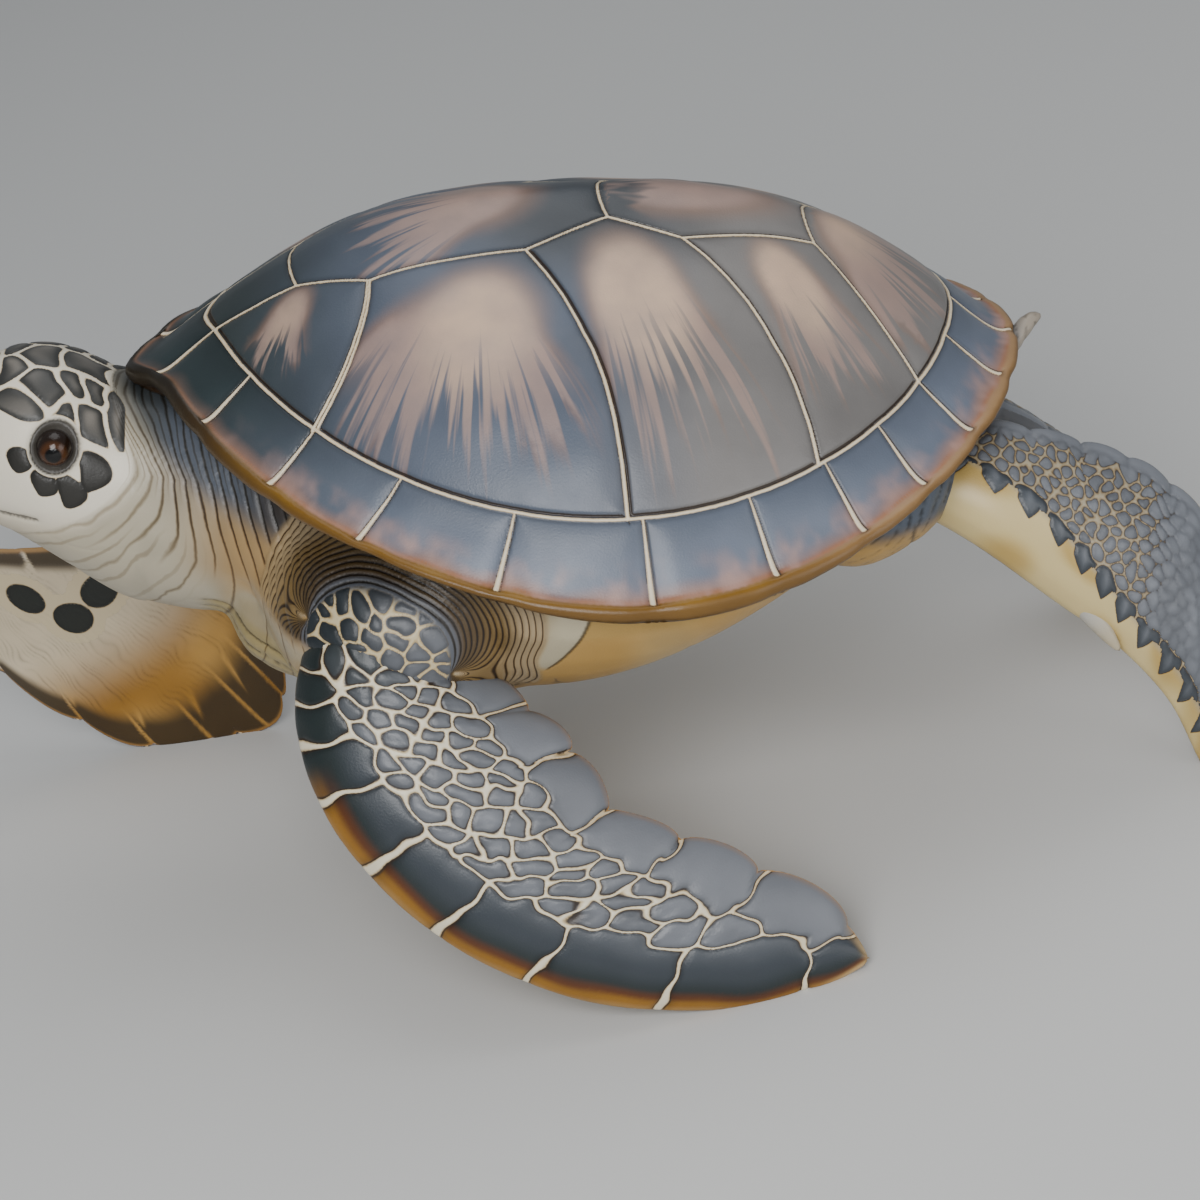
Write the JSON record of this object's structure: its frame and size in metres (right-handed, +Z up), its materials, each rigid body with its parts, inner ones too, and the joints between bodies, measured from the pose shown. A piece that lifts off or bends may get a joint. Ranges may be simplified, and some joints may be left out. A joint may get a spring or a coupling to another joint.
{
  "type": "sea turtle statue",
  "caption": "Life-size sea turtle statue standing on its flippers, with a domed shell, carved scutes, raised head and short tail.",
  "frame": {"origin": "centre of the bounding box at the floor the statue stands on", "axes": "+Z up, the head towards -X, the tail towards +X, the turtle's left side towards -Y"},
  "size_m": [1.0326, 0.5738, 0.4968],
  "materials": {
    "painted_resin": "hand-painted cast resin with a satin varnish"
  },
  "bodies": {
    "root": {"turtle": "painted_resin"}
  },
  "joints": []
}
